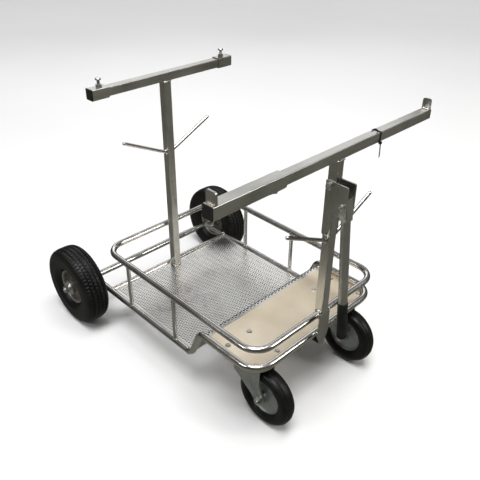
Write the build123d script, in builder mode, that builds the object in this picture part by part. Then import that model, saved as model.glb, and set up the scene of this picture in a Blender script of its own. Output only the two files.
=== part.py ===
from build123d import *
import math
import os

# Four-wheel carrying trolley: tube frame, basket rail, two T-shaped supports.
# +X runs to the casters, +Y to the left side, +Z up, the floor is Z = 0. Millimetres.
# The origin is on the floor below the middle of the whole trolley.

# ---- driving sizes ----------------------------------------------------------
AXLE_X = -357.0         # rear axle, placed so that the origin is below the middle
FRAME_LENGTH = 756.0    # rear axle to the front tubes
REAR_SETBACK = 106.0    # rear axle to the rear cross tube
FRONT_DECK = 251.0      # foot of the step to the front tubes
HALF_WIDTH = 247.0      # side tube centre line from the middle
RAIL_RISE = 61.0        # basket rail above the raised front tubes
TUBE_R = 9.0            # round frame tube, outside radius
TUBE_WALL = 1.5
STEP_RUN = 40.0
STEP_BEND = 30.0
CORNER_BEND = 55.0
STANCHION_R = 6.0
STANCHION_REAR = 219.0  # rear axle to the rear stanchions
STANCHION_FRONT = 73.0  # front stanchions behind the foot of the step

FLOOR_SHEET = 2.0
SHEET_BEND = 10.0
PLATE_THICK = 4.0
PLATE_SETBACK = 20.0    # front plate starts this far past the step
PLATE_LIP = 4.0         # plate past the tube centre line
FLOOR_CROSS_BACK = 19.0  # cross tube under the floor sheet, behind the step
FLOOR_CROSS_R = 7.0

TYRE_R = 130.0          # rear tyre; its axle is level with the low tubes
TYRE_WIDTH = 80.0
WHEEL_GAP = 9.0         # side tube to tyre
SHOULDER_IN = 5.0
SHOULDER_DROP = 20.0
TREAD_IN = 13.0         # flank of the tread inside the widest point
TREAD_DROP = 3.0
RIM_R = 60.0
RIM_WIDTH = 62.0
RIM_WALL = 4.0
FLANGE_THICK = 4.0
FLANGE_RISE = 7.0
WEB_THICK = 4.0
HUB_R = 24.0
HUB_WIDTH = 74.0
HUB_CHAMFER = 3.0
AXLE_R = 7.5
AXLE_TUBE_WALL = 2.5
AXLE_CHAMFER = 1.5
WASHER_THICK = 2.0
NUT_THICK = 10.0
THREAD_OUT = 4.0        # thread past a wheel nut

POST = 25.0             # square tube of posts and bars
POST_WALL = 2.0
POST_CORNER = 2.0
SLEEVE_WALL = 2.0
REAR_BAR_TOP = 797.5
REAR_SLEEVE = 50.0
REAR_SLEEVE_OUT = 247.0
REAR_BAR_INSET = 17.0   # rear bar ends inside its sleeve
REAR_SCREW_INSET = 29.0
FRONT_BAR_TOP = 762.5
FRONT_BAR_FAR = 378.0
FRONT_SLEEVE_NEAR = -392.0
FRONT_SLEEVE = 205.0
FRONT_OVERLAP = 103.0   # length of bar inside the front sleeve
STOP_HEIGHT = 28.0
STOP_THICK = 5.0
STOP_CORNER = 5.0
STOP_NARROWER = 2.0     # stop narrower than what it stands on
STOP_END_GAP = 1.0
STOP_INSET = 7.0
PLUG_DEPTH = 8.0
PLUG_CAP = 2.5
PLUG_CORNER = 1.5

HOOK_R = 5.0
HOOK_REACH = 158.0
HOOK_RISE = 70.0
REAR_HOOK_Z = 551.0
FRONT_HOOK_Z = 521.0

SCREW_R = 4.0
NUT_R = 8.0
LOCK_LENGTH = 22.0
LOCK_HEAD_R = 8.0
LOCK_HEAD = 5.0
PAD_LENGTH = 44.0
PAD_WIDTH = 20.0
PAD_THICK = 4.0
CLAMP_R = 5.0
BRACKET_WALL = 4.0
BRACKET_DROP = 52.5     # top of the cheeks below the front bar
BRACKET_DEPTH = 147.0
EAR_DEPTH = 83.0
EAR_REACH = 39.0        # ear past the front face of the post
EAR_CORNER = 4.0
CLAMP_DROP = 13.0
PIVOT_DROP = 55.0
PIVOT_REACH = 27.5      # handle pivot past the front face of the post
HANDLE_LEAN = 5.0       # degrees the hanging handle leans forward
HEAD_ABOVE = 22.0
HEAD_BELOW = 38.0
STEM_OVERLAP = 6.0
HANDLE_LENGTH = 385.0
GRIP_LENGTH = 110.0
GRIP_WALL = 2.0

FOOT_DROP = 48.0        # end of the foot strap below the front tubes
FOOT_WIDE = 44.0
FOOT_TAPER = 22.0
BUFFER_R = 13.0
BUFFER_LENGTH = 28.0
BUFFER_INSET = 2.0
BUFFER_ROUND = 5.0
TIE_Y = 147.0
TIE_WIDTH = 4.8
TIE_THICK = 1.3
TIE_TAIL = 38.0
TIE_HEAD = 7.0
TIE_TAIL_OUT = 3.0

CASTER_R = 90.0
CASTER_WIDTH = 46.0
CASTER_TRAIL = 58.0
CASTER_CORE_R = 64.0
CASTER_CORE_RIM = 10.0
CASTER_CORE_WEB = 8.0
CASTER_HUB_R = 18.0
CASTER_HUB_OUT = 2.0    # hub past the tyre at each side
CASTER_SHOULDER = 9.0
CASTER_AXLE_R = 6.0
CASTER_EDGE = 5.0       # caster plate inside the side tube
CASTER_BACK = 3.5       # caster plate behind the front tube
BOLTS_X = 105.0
BOLTS_Y = 80.0
BOLT_R = 4.0
CASTER_PLATE_EDGE = 15.0  # caster plate past its bolts
CASTER_PLATE_THICK = 4.0
CASTER_PLATE_CORNER = 8.0
RACE_R = 34.0
RACE_DEPTH = 12.0
RACE_TAPER = -6.0
KING_PIN_R = 6.0
KING_HEAD = 6.0
CASTER_HEAD_ROOM = 6.0   # king pin above the tyre
FORK_CROWN = 6.0
FORK_WALL = 4.0
FORK_SIDE_ROOM = 2.0    # hub to fork leg
FORK_LEG = 104.0        # leg width at the crown
FORK_AHEAD = 4.0        # middle of the crown ahead of the king pin
FORK_LEG_TOP = 62.0     # height of the wide part of the leg
FORK_CORNER = 10.0
AXLE_BOSS_R = 16.0

# ---- clearances -------------------------------------------------------------
RUN = 0.08              # radial clearance of a running pin or shaft
SIDE = 0.5              # clearance of a sliding or turning face
SEAT = 0.1              # radial clearance of a fixed bolt in its hole
CONTACT = 0.3           # gap under the tip of a lock screw

# ---- what follows from them -------------------------------------------------
FLOOR_Z = TYRE_R
REAR_X = AXLE_X + REAR_SETBACK
FRONT_X = AXLE_X + FRAME_LENGTH
STEP_X = FRONT_X - FRONT_DECK
STANCHION_X = (AXLE_X + STANCHION_REAR, STEP_X - STANCHION_FRONT)
PLATE_REAR_X = STEP_X + STEP_RUN + PLATE_SETBACK
FLOOR_CROSS_X = STEP_X - FLOOR_CROSS_BACK
INSIDE_WIDTH = HALF_WIDTH - TUBE_R

# heights of the casters, from the ground up
KING_BOTTOM = 2 * CASTER_R + CASTER_HEAD_ROOM
CROWN_BOTTOM = KING_BOTTOM + KING_HEAD + SIDE
CROWN_TOP = CROWN_BOTTOM + FORK_CROWN
RACE_BOTTOM = CROWN_TOP + SIDE
CASTER_PLATE_BOTTOM = RACE_BOTTOM + RACE_DEPTH
PLATE_BOTTOM = CASTER_PLATE_BOTTOM + CASTER_PLATE_THICK
FRONT_Z = PLATE_BOTTOM + PLATE_THICK + TUBE_R
RAIL_Z = FRONT_Z + RAIL_RISE

CASTER_PLATE_X = BOLTS_X + 2 * CASTER_PLATE_EDGE
CASTER_PLATE_Y = BOLTS_Y + 2 * CASTER_PLATE_EDGE
CASTER_X = FRONT_X - TUBE_R - CASTER_BACK - CASTER_PLATE_X / 2
CASTER_Y = INSIDE_WIDTH - CASTER_EDGE - CASTER_PLATE_Y / 2
CASTER_AXLE_X = CASTER_X + CASTER_TRAIL
CASTER_HUB_WIDTH = CASTER_WIDTH + 2 * CASTER_HUB_OUT
FORK_INSIDE = CASTER_HUB_WIDTH + 2 * FORK_SIDE_ROOM
FORK_OUTSIDE = FORK_INSIDE / 2 + FORK_WALL

WHEEL_Y = HALF_WIDTH + TUBE_R + WHEEL_GAP + TYRE_WIDTH / 2
HUB_IN = WHEEL_Y - HUB_WIDTH / 2
HUB_OUT = WHEEL_Y + HUB_WIDTH / 2
AXLE_TUBE_R = AXLE_R + AXLE_TUBE_WALL
AXLE_TUBE_END = HUB_IN - SIDE
AXLE_HALF = HUB_OUT + SIDE + WASHER_THICK + NUT_THICK + THREAD_OUT

SLEEVE = POST + 2 * SLEEVE_WALL + 2 * SIDE   # square sleeve over a bar
SLEEVE_INSIDE = SLEEVE - 2 * SLEEVE_WALL
REAR_POST_X = REAR_X + TUBE_R + POST / 2
REAR_BAR_Z = REAR_BAR_TOP - POST / 2
REAR_BAR_HALF = REAR_SLEEVE_OUT - REAR_BAR_INSET
REAR_SCREW_Y = REAR_SLEEVE_OUT - REAR_SCREW_INSET
FRONT_BAR_Z = FRONT_BAR_TOP - POST / 2
FRONT_SLEEVE_FAR = FRONT_SLEEVE_NEAR + FRONT_SLEEVE
FRONT_BAR_NEAR = FRONT_SLEEVE_FAR - FRONT_OVERLAP

BRACKET_TOP = FRONT_BAR_TOP - POST - BRACKET_DROP
BRACKET_BOTTOM = BRACKET_TOP - BRACKET_DEPTH
EAR_BOTTOM = BRACKET_TOP - EAR_DEPTH
CLAMP_Z = BRACKET_TOP - CLAMP_DROP
PIVOT_Z = BRACKET_TOP - PIVOT_DROP
PIVOT_X = FRONT_X + POST / 2 + PIVOT_REACH
HANDLE_HEAD = POST - 2 * SIDE
HANDLE_R = HANDLE_HEAD / 2
STRAP_THICK = POST / 2 - TUBE_R
STRAP_BOTTOM = FRONT_Z - FOOT_DROP
SIDES = {"left": 1, "right": -1}

os.makedirs("parts", exist_ok=True)


def save(part, name):
    part.label = name
    export_step(part, f"parts/{name}.step")


def across(x, z, y=0.0):
    """Plane at (x, y, z) whose normal runs along +Y, with +X to its right."""
    return Plane(origin=(x, y, z), x_dir=(1, 0, 0), z_dir=(0, 1, 0))


def square_ring(outside, wall):
    """Section of a square tube, drawn on the sketch in use."""
    inside = outside - 2 * wall
    RectangleRounded(outside, outside, POST_CORNER)
    RectangleRounded(inside, inside, POST_CORNER / 3, mode=Mode.SUBTRACT)


def along_y(radius, length):
    """Hole along Y through the locations in use."""
    Cylinder(radius, length, rotation=(90, 0, 0), mode=Mode.SUBTRACT)


def cross_tube(name, x, z, radius):
    """Round tube along Y, its ends cut to sit on the two low side tubes."""
    with BuildPart() as tube:
        with BuildSketch(across(x, z)):
            Circle(radius)
            Circle(radius - TUBE_WALL, mode=Mode.SUBTRACT)
        extrude(amount=HALF_WIDTH, both=True)
        with Locations(*[(x, s * HALF_WIDTH, FLOOR_Z) for s in SIDES.values()]):
            Cylinder(TUBE_R, 4 * TUBE_R, rotation=(0, 90, 0), mode=Mode.SUBTRACT)
    save(tube.part, name)


# ---- frame tubes ------------------------------------------------------------
def lower_tube(name, s):
    """Half of the lower frame: from the axle, up the step, round the front corner."""
    with BuildPart() as tube:
        with BuildLine() as route:
            FilletPolyline(
                (AXLE_X, s * HALF_WIDTH, FLOOR_Z),
                (STEP_X, s * HALF_WIDTH, FLOOR_Z),
                (STEP_X + STEP_RUN, s * HALF_WIDTH, FRONT_Z),
                (FRONT_X, s * HALF_WIDTH, FRONT_Z),
                (FRONT_X, 0, FRONT_Z),
                radius=(STEP_BEND, STEP_BEND, CORNER_BEND),
            )
        with BuildSketch(Plane(origin=route.line @ 0, z_dir=route.line % 0)):
            Circle(TUBE_R)
            Circle(TUBE_R - TUBE_WALL, mode=Mode.SUBTRACT)
        sweep()
        with Locations((AXLE_X, s * HALF_WIDTH, FLOOR_Z)):
            Cylinder(AXLE_TUBE_R, 4 * TUBE_R, rotation=(90, 0, 0), mode=Mode.SUBTRACT)
    save(tube.part, name)


def build_rail():
    """Closed loop of tube round the top of the basket."""
    corners = [(REAR_X, HALF_WIDTH), (FRONT_X, HALF_WIDTH), (FRONT_X, -HALF_WIDTH), (REAR_X, -HALF_WIDTH)]
    with BuildPart() as rail:
        with BuildLine() as route:
            FilletPolyline([(x, y, RAIL_Z) for x, y in corners], radius=CORNER_BEND, close=True)
        with BuildSketch(Plane(origin=route.line @ 0, z_dir=route.line % 0)):
            Circle(TUBE_R)
            Circle(TUBE_R - TUBE_WALL, mode=Mode.SUBTRACT)
        sweep()
    save(rail.part, "upper_rail")


def build_stanchions():
    """Upright bars between the low side tubes and the rail, cut to sit on both."""
    for side, s in SIDES.items():
        for place, x in zip(("rear", "front"), STANCHION_X):
            with BuildPart() as bar:
                with BuildSketch(Plane.XY.offset(FLOOR_Z)):
                    with Locations((x, s * HALF_WIDTH)):
                        Circle(STANCHION_R)
                extrude(amount=RAIL_Z - FLOOR_Z)
                with Locations((x, s * HALF_WIDTH, FLOOR_Z), (x, s * HALF_WIDTH, RAIL_Z)):
                    Cylinder(TUBE_R, 4 * STANCHION_R, rotation=(0, 90, 0), mode=Mode.SUBTRACT)
            save(bar.part, f"stanchion_{place}_{side}")


def build_floor():
    """Sheet from the rear cross tube to the front plate, bent up the step, notched round the post."""
    plate_middle = PLATE_BOTTOM + PLATE_THICK / 2
    with BuildPart() as floor:
        with BuildSketch(Plane.XZ):
            with BuildLine():
                bends = FilletPolyline(
                    (REAR_X + TUBE_R + FLOOR_SHEET / 2, FLOOR_Z),
                    (STEP_X, FLOOR_Z),
                    (STEP_X + STEP_RUN, plate_middle),
                    (PLATE_REAR_X - FLOOR_SHEET / 2, plate_middle),
                    radius=SHEET_BEND,
                )
                offset(bends, FLOOR_SHEET / 2, side=Side.BOTH, mode=Mode.REPLACE)
            make_face()
        extrude(amount=INSIDE_WIDTH, both=True)
        with Locations((REAR_POST_X, 0, FLOOR_Z)):
            Box(POST, POST, 4 * FLOOR_SHEET, mode=Mode.SUBTRACT)
    save(floor.part, "perforated_floor")


def build_front_plate():
    """Plate welded under the raised front loop, drilled for the caster bolts."""
    front = FRONT_X + PLATE_LIP
    with BuildPart() as plate:
        with BuildSketch(Plane.XY.offset(PLATE_BOTTOM)) as outline:
            with Locations(((PLATE_REAR_X + front) / 2, 0)):
                Rectangle(front - PLATE_REAR_X, 2 * (HALF_WIDTH + PLATE_LIP))
            fillet(outline.vertices().group_by(Axis.X)[-1], CORNER_BEND + PLATE_LIP)
        extrude(amount=PLATE_THICK)
        with Locations(*[(CASTER_X, s * CASTER_Y, PLATE_BOTTOM) for s in SIDES.values()]):
            with GridLocations(BOLTS_X, BOLTS_Y, 2, 2):
                Cylinder(BOLT_R + SEAT, 4 * PLATE_THICK, mode=Mode.SUBTRACT)
    save(plate.part, "front_plate")


# ---- rear axle and wheels ---------------------------------------------------
def build_axle():
    with BuildPart() as tube:
        with BuildSketch(across(AXLE_X, FLOOR_Z)):
            Circle(AXLE_TUBE_R)
            Circle(AXLE_R, mode=Mode.SUBTRACT)
        extrude(amount=AXLE_TUBE_END, both=True)
    save(tube.part, "axle_tube")
    with BuildPart() as axle:
        with BuildSketch(across(AXLE_X, FLOOR_Z)):
            Circle(AXLE_R)
        extrude(amount=AXLE_HALF, both=True)
        chamfer(axle.edges().filter_by(GeomType.CIRCLE), AXLE_CHAMFER)
    save(axle.part, "rear_axle")
    with BuildPart() as nuts:
        for s in SIDES.values():
            with BuildSketch(across(AXLE_X, FLOOR_Z, s * (HUB_OUT + SIDE))):
                Circle(1.9 * AXLE_R)
                Circle(AXLE_R, mode=Mode.SUBTRACT)
            extrude(amount=s * WASHER_THICK)
            with BuildSketch(across(AXLE_X, FLOOR_Z, s * (HUB_OUT + SIDE + WASHER_THICK))):
                RegularPolygon(1.65 * AXLE_R, 6)
                Circle(AXLE_R, mode=Mode.SUBTRACT)
            extrude(amount=s * NUT_THICK)
    save(nuts.part, "axle_nuts")


def build_rear_wheel(side, s):
    """Air tyre, pressed rim and hub, turned about the axle."""
    y = s * WHEEL_Y
    turn = Axis((AXLE_X, 0, FLOOR_Z), (0, 1, 0))
    seat = RIM_WIDTH / 2 - FLANGE_THICK
    bulge = TYRE_WIDTH / 2
    tread = bulge - TREAD_IN
    bead = FLOOR_Z + RIM_R
    crown = FLOOR_Z + TYRE_R
    with BuildPart() as tyre:
        with BuildSketch(Plane.YZ.offset(AXLE_X)):
            with BuildLine():
                Line((y - seat, bead), (y + seat, bead))
                for e in (-1, 1):
                    Line((y + e * seat, bead), (y + e * seat, bead + FLANGE_RISE))
                    Spline(
                        (y + e * seat, bead + FLANGE_RISE),
                        (y + e * bulge, (bead + crown) / 2),
                        (y + e * (bulge - SHOULDER_IN), crown - SHOULDER_DROP),
                    )
                    Line(
                        (y + e * (bulge - SHOULDER_IN), crown - SHOULDER_DROP),
                        (y + e * tread, crown - TREAD_DROP),
                    )
                ThreePointArc(
                    (y - tread, crown - TREAD_DROP),
                    (y, crown),
                    (y + tread, crown - TREAD_DROP),
                )
            make_face()
        revolve(axis=turn)
    save(tyre.part, f"rear_tyre_{side}")
    with BuildPart() as rim:
        with BuildSketch(Plane.YZ.offset(AXLE_X)):
            with Locations((y, bead - RIM_WALL / 2)):
                Rectangle(RIM_WIDTH, RIM_WALL)
            with Locations(*[(y + e * (seat + FLANGE_THICK / 2), bead) for e in (-1, 1)]):
                Rectangle(FLANGE_THICK, 2 * FLANGE_RISE)
            with Locations((y, FLOOR_Z + (HUB_R + RIM_R - RIM_WALL) / 2)):
                Rectangle(WEB_THICK, RIM_R - RIM_WALL - HUB_R)
        revolve(axis=turn)
    save(rim.part, f"rear_rim_{side}")
    with BuildPart() as hub:
        with BuildSketch(across(AXLE_X, FLOOR_Z, y)):
            Circle(HUB_R)
            Circle(AXLE_R + RUN, mode=Mode.SUBTRACT)
        extrude(amount=HUB_WIDTH / 2, both=True)
        for end in (0, -1):
            chamfer(hub.faces().sort_by(Axis.Y)[end].outer_wire().edges(), HUB_CHAMFER)
    save(hub.part, f"rear_hub_{side}")


# ---- posts, bars, hooks -----------------------------------------------------
def post(name, x, bottom, top, saddle_z=None, bolt_z=None):
    """Square upright; its foot can be cut to sit on a tube, and a bolt hole runs along Y."""
    with BuildPart() as upright:
        with BuildSketch(Plane.XY.offset(bottom)):
            with Locations((x, 0)):
                square_ring(POST, POST_WALL)
        extrude(amount=top - bottom)
        if saddle_z is not None:
            with Locations((x, 0, saddle_z)):
                along_y(TUBE_R, 2 * POST)
        if bolt_z is not None:
            with Locations((x, 0, bolt_z)):
                along_y(CLAMP_R + SEAT, 2 * POST)
    save(upright.part, name)


def bar(name, x, z, y0, y1):
    """Square tube along Y that the sleeves slide on."""
    with BuildPart() as beam:
        with BuildSketch(across(x, z, y0)):
            square_ring(POST, POST_WALL)
        extrude(amount=y1 - y0)
    save(beam.part, name)


def hook(name, x, z, s):
    """Round bar that leaves the side of a post and rises outward, with a domed end."""
    start = Vector(x, s * POST / 2, z)
    end = Vector(x, s * HOOK_REACH, z + HOOK_RISE)
    along = (end - start).normalized()
    with BuildPart() as rod:
        with BuildSketch(Plane(origin=start - along * 2 * HOOK_R, z_dir=along)):
            Circle(HOOK_R)
        extrude(amount=(end - start).length + 2 * HOOK_R)
        with Locations(end):
            Sphere(HOOK_R)
        with Locations((x, 0, z)):
            Box(2 * POST, POST, 4 * POST, mode=Mode.SUBTRACT)
    save(rod.part, name)


def plug(name, x, z, y, s, outside, wall):
    """Black end plug: a cap on the tube end and a shank pushed inside it."""
    inside = outside - 2 * wall
    with BuildPart() as cap:
        with BuildSketch(across(x, z, y)):
            RectangleRounded(outside, outside, POST_CORNER)
        extrude(amount=s * PLUG_CAP)
        with BuildSketch(across(x, z, y)):
            RectangleRounded(inside, inside, PLUG_CORNER)
        extrude(amount=-s * PLUG_DEPTH)
    save(cap.part, name)


def stop_plate(name, x, z, y, width):
    """Upright plate across a bar that keeps the load from sliding off."""
    face = Plane(origin=(x, y, z + STOP_HEIGHT / 2), x_dir=(1, 0, 0), z_dir=(0, -1, 0))
    with BuildPart() as lug:
        with BuildSketch(face) as outline:
            Rectangle(width, STOP_HEIGHT)
            fillet(outline.vertices().group_by(Axis.Y)[-1], STOP_CORNER)
        extrude(amount=STOP_THICK / 2, both=True)
    save(lug.part, name)


def build_rear_sleeve(side, s):
    """Short sleeve over the end of the rear bar, with a weld nut and its lock screw."""
    inner = REAR_SLEEVE_OUT - REAR_SLEEVE
    top = REAR_BAR_Z + SLEEVE / 2
    with BuildPart() as sleeve:
        with BuildSketch(across(REAR_POST_X, REAR_BAR_Z, s * inner)):
            square_ring(SLEEVE, SLEEVE_WALL)
        extrude(amount=s * REAR_SLEEVE)
        with BuildSketch(Plane.XY.offset(top)):
            with Locations((REAR_POST_X, s * REAR_SCREW_Y)):
                RegularPolygon(NUT_R, 6)
        extrude(amount=NUT_R)
        with Locations((REAR_POST_X, s * REAR_SCREW_Y, top)):
            Cylinder(SCREW_R + RUN, 4 * NUT_R, mode=Mode.SUBTRACT)
        with BuildSketch(across(REAR_POST_X, REAR_BAR_Z, s * inner)):
            RectangleRounded(SLEEVE_INSIDE, SLEEVE_INSIDE, POST_CORNER / 3)
        extrude(amount=s * REAR_SLEEVE, mode=Mode.SUBTRACT)
    save(sleeve.part, f"rear_sleeve_{side}")
    plug(f"rear_plug_{side}", REAR_POST_X, REAR_BAR_Z, s * REAR_SLEEVE_OUT, s, SLEEVE, SLEEVE_WALL)
    with BuildPart() as screw:
        with BuildSketch(Plane.XY.offset(REAR_BAR_TOP + CONTACT)):
            with Locations((REAR_POST_X, s * REAR_SCREW_Y)):
                Circle(SCREW_R)
        extrude(amount=LOCK_LENGTH)
        with BuildSketch(Plane.XY.offset(REAR_BAR_TOP + CONTACT + LOCK_LENGTH)):
            with Locations((REAR_POST_X, s * REAR_SCREW_Y)):
                Circle(LOCK_HEAD_R)
        extrude(amount=LOCK_HEAD)
        chamfer(screw.faces().sort_by(Axis.Z)[-1].edges(), SCREW_R / 3)
    save(screw.part, f"rear_lock_screw_{side}")


def build_front_sleeve():
    """Long sleeve that lengthens the front bar, with a lock pad, screw, plug and stop."""
    bottom = FRONT_BAR_Z - SLEEVE / 2
    pad_y = FRONT_SLEEVE_FAR - PAD_LENGTH / 2
    with BuildPart() as sleeve:
        with BuildSketch(across(FRONT_X, FRONT_BAR_Z, FRONT_SLEEVE_NEAR)):
            square_ring(SLEEVE, SLEEVE_WALL)
        extrude(amount=FRONT_SLEEVE)
        with BuildSketch(Plane.XY.offset(bottom - PAD_THICK)):
            with Locations((FRONT_X, pad_y)):
                Rectangle(PAD_WIDTH, PAD_LENGTH)
        extrude(amount=PAD_THICK)
        with Locations((FRONT_X, pad_y, bottom)):
            Cylinder(SCREW_R + RUN, 3 * PAD_THICK, mode=Mode.SUBTRACT)
    save(sleeve.part, "front_sleeve")
    plug("front_sleeve_plug", FRONT_X, FRONT_BAR_Z, FRONT_SLEEVE_NEAR, -1, SLEEVE, SLEEVE_WALL)
    stop_y = FRONT_SLEEVE_NEAR + STOP_INSET + STOP_THICK / 2
    stop_plate("front_stop_right", FRONT_X, FRONT_BAR_Z + SLEEVE / 2, stop_y, SLEEVE - STOP_NARROWER)
    head_top = bottom - PAD_THICK - SIDE
    with BuildPart() as screw:
        with BuildSketch(Plane.XY.offset(head_top)):
            with Locations((FRONT_X, pad_y)):
                Circle(SCREW_R)
        extrude(amount=FRONT_BAR_Z - POST / 2 - CONTACT - head_top)
        with BuildSketch(Plane.XY.offset(head_top - LOCK_HEAD)):
            with Locations((FRONT_X, pad_y)):
                RegularPolygon(LOCK_HEAD_R, 6)
        extrude(amount=LOCK_HEAD)
    save(screw.part, "front_lock_screw")


# ---- handle and its bracket -------------------------------------------------
def build_bracket():
    """Two side plates on the post, the clamp bolt behind and the handle pivot in front."""
    back = FRONT_X - POST / 2
    face = FRONT_X + POST / 2
    for side, s in SIDES.items():
        with BuildPart() as cheek:
            with BuildSketch(across(0, 0, s * POST / 2)):
                with BuildLine():
                    Polyline(
                        (back, -BRACKET_BOTTOM),
                        (back, -BRACKET_TOP),
                        (face + EAR_REACH, -BRACKET_TOP),
                        (face + EAR_REACH, -EAR_BOTTOM),
                        (face, -EAR_BOTTOM),
                        (face, -BRACKET_BOTTOM),
                        close=True,
                    )
                make_face()
            extrude(amount=s * BRACKET_WALL)
            with Locations((FRONT_X, s * POST / 2, CLAMP_Z)):
                along_y(CLAMP_R + SEAT, 4 * BRACKET_WALL)
            with Locations((PIVOT_X, s * POST / 2, PIVOT_Z)):
                along_y(SCREW_R + SEAT, 4 * BRACKET_WALL)
            front_edges = cheek.edges().filter_by(Axis.Y).group_by(Axis.X)[-1]
            fillet(front_edges, EAR_CORNER)
        save(cheek.part, f"bracket_cheek_{side}")
    through_bolt("bracket_clamp_bolt", FRONT_X, CLAMP_Z, CLAMP_R)
    through_bolt("handle_pivot_bolt", PIVOT_X, PIVOT_Z, SCREW_R)


def through_bolt(name, x, z, radius):
    """Bolt along Y through both cheeks, with a head at the right and a nut at the left."""
    half = POST / 2 + BRACKET_WALL
    with BuildPart() as bolt:
        with BuildSketch(across(x, z)):
            Circle(radius)
        extrude(amount=half + radius * 1.6, both=True)
        with BuildSketch(across(x, z, -half)):
            RegularPolygon(1.9 * radius, 6)
        extrude(amount=-1.3 * radius)
        with BuildSketch(across(x, z, half)):
            RegularPolygon(1.9 * radius, 6)
        extrude(amount=1.3 * radius)
    save(bolt.part, name)


def build_handle():
    """Square head between the cheeks, round tube below it and a rubber grip."""
    lean = math.radians(HANDLE_LEAN)
    up = (-math.sin(lean), 0, math.cos(lean))
    stem = Plane(origin=(PIVOT_X, 0, PIVOT_Z), x_dir=(math.cos(lean), 0, math.sin(lean)), z_dir=up)
    with BuildPart() as handle:
        with BuildSketch(stem.offset(-HEAD_BELOW)):
            square_ring(HANDLE_HEAD, POST_WALL)
        extrude(amount=HEAD_BELOW + HEAD_ABOVE)
        with BuildSketch(stem.offset(-HANDLE_LENGTH + GRIP_WALL)):
            Circle(HANDLE_R)
            Circle(HANDLE_R - TUBE_WALL, mode=Mode.SUBTRACT)
        extrude(amount=HANDLE_LENGTH - GRIP_WALL - HEAD_BELOW + STEM_OVERLAP)
        with Locations((PIVOT_X, 0, PIVOT_Z)):
            along_y(SCREW_R + RUN, 2 * POST)
    save(handle.part, "handle_tube")
    with BuildPart() as grip:
        with BuildSketch(stem.offset(-HANDLE_LENGTH)):
            Circle(HANDLE_R + GRIP_WALL)
        extrude(amount=GRIP_LENGTH)
        with BuildSketch(stem.offset(-HANDLE_LENGTH + GRIP_WALL)):
            Circle(HANDLE_R)
        extrude(amount=GRIP_LENGTH, mode=Mode.SUBTRACT)
        fillet(grip.edges().filter_by(GeomType.CIRCLE).sort_by(Axis.Z)[0], GRIP_WALL)
    save(grip.part, "handle_grip")


def build_foot():
    """Strap down the front of both tubes, wide at the top, with a rubber buffer behind its end."""
    taper_top = FRONT_Z - TUBE_R
    with BuildPart() as strap:
        with BuildSketch(Plane.YZ.offset(FRONT_X + TUBE_R)) as outline:
            with BuildLine():
                Polyline(
                    (-POST / 2, STRAP_BOTTOM),
                    (POST / 2, STRAP_BOTTOM),
                    (POST / 2, taper_top - FOOT_TAPER),
                    (FOOT_WIDE / 2, taper_top),
                    (FOOT_WIDE / 2, RAIL_Z),
                    (-FOOT_WIDE / 2, RAIL_Z),
                    (-FOOT_WIDE / 2, taper_top),
                    (-POST / 2, taper_top - FOOT_TAPER),
                    close=True,
                )
            make_face()
            fillet(outline.vertices().group_by(Axis.Y)[0], POST / 2 - 1)
        extrude(amount=STRAP_THICK)
    save(strap.part, "foot_strap")
    with BuildPart() as buffer:
        with BuildSketch(Plane.YZ.offset(FRONT_X + TUBE_R)):
            with Locations((0, STRAP_BOTTOM + BUFFER_R + BUFFER_INSET)):
                Circle(BUFFER_R)
        extrude(amount=-BUFFER_LENGTH)
        fillet(buffer.faces().sort_by(Axis.X)[0].edges(), BUFFER_ROUND)
    save(buffer.part, "foot_buffer")


def build_cable_tie():
    """Thin strap round the front bar, with its head and the loose tail."""
    inside = POST + 2 * SEAT
    outside = inside + 2 * TIE_THICK
    head_x = FRONT_X + outside / 2
    head_z = FRONT_BAR_Z - POST / 2
    with BuildPart() as tie:
        with BuildSketch(across(FRONT_X, FRONT_BAR_Z, TIE_Y)):
            RectangleRounded(outside, outside, POST_CORNER + TIE_THICK / 2)
            RectangleRounded(inside, inside, POST_CORNER, mode=Mode.SUBTRACT)
        extrude(amount=TIE_WIDTH)
        with Locations((head_x, TIE_Y + TIE_WIDTH / 2, head_z)):
            Box(TIE_HEAD, TIE_HEAD, TIE_HEAD, align=(Align.MIN, Align.CENTER, Align.CENTER))
        with Locations((head_x + TIE_TAIL_OUT, TIE_Y + TIE_WIDTH / 2, head_z)):
            Box(TIE_THICK, TIE_WIDTH, TIE_TAIL, align=(Align.CENTER, Align.CENTER, Align.MAX))
    save(tie.part, "cable_tie")


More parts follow.
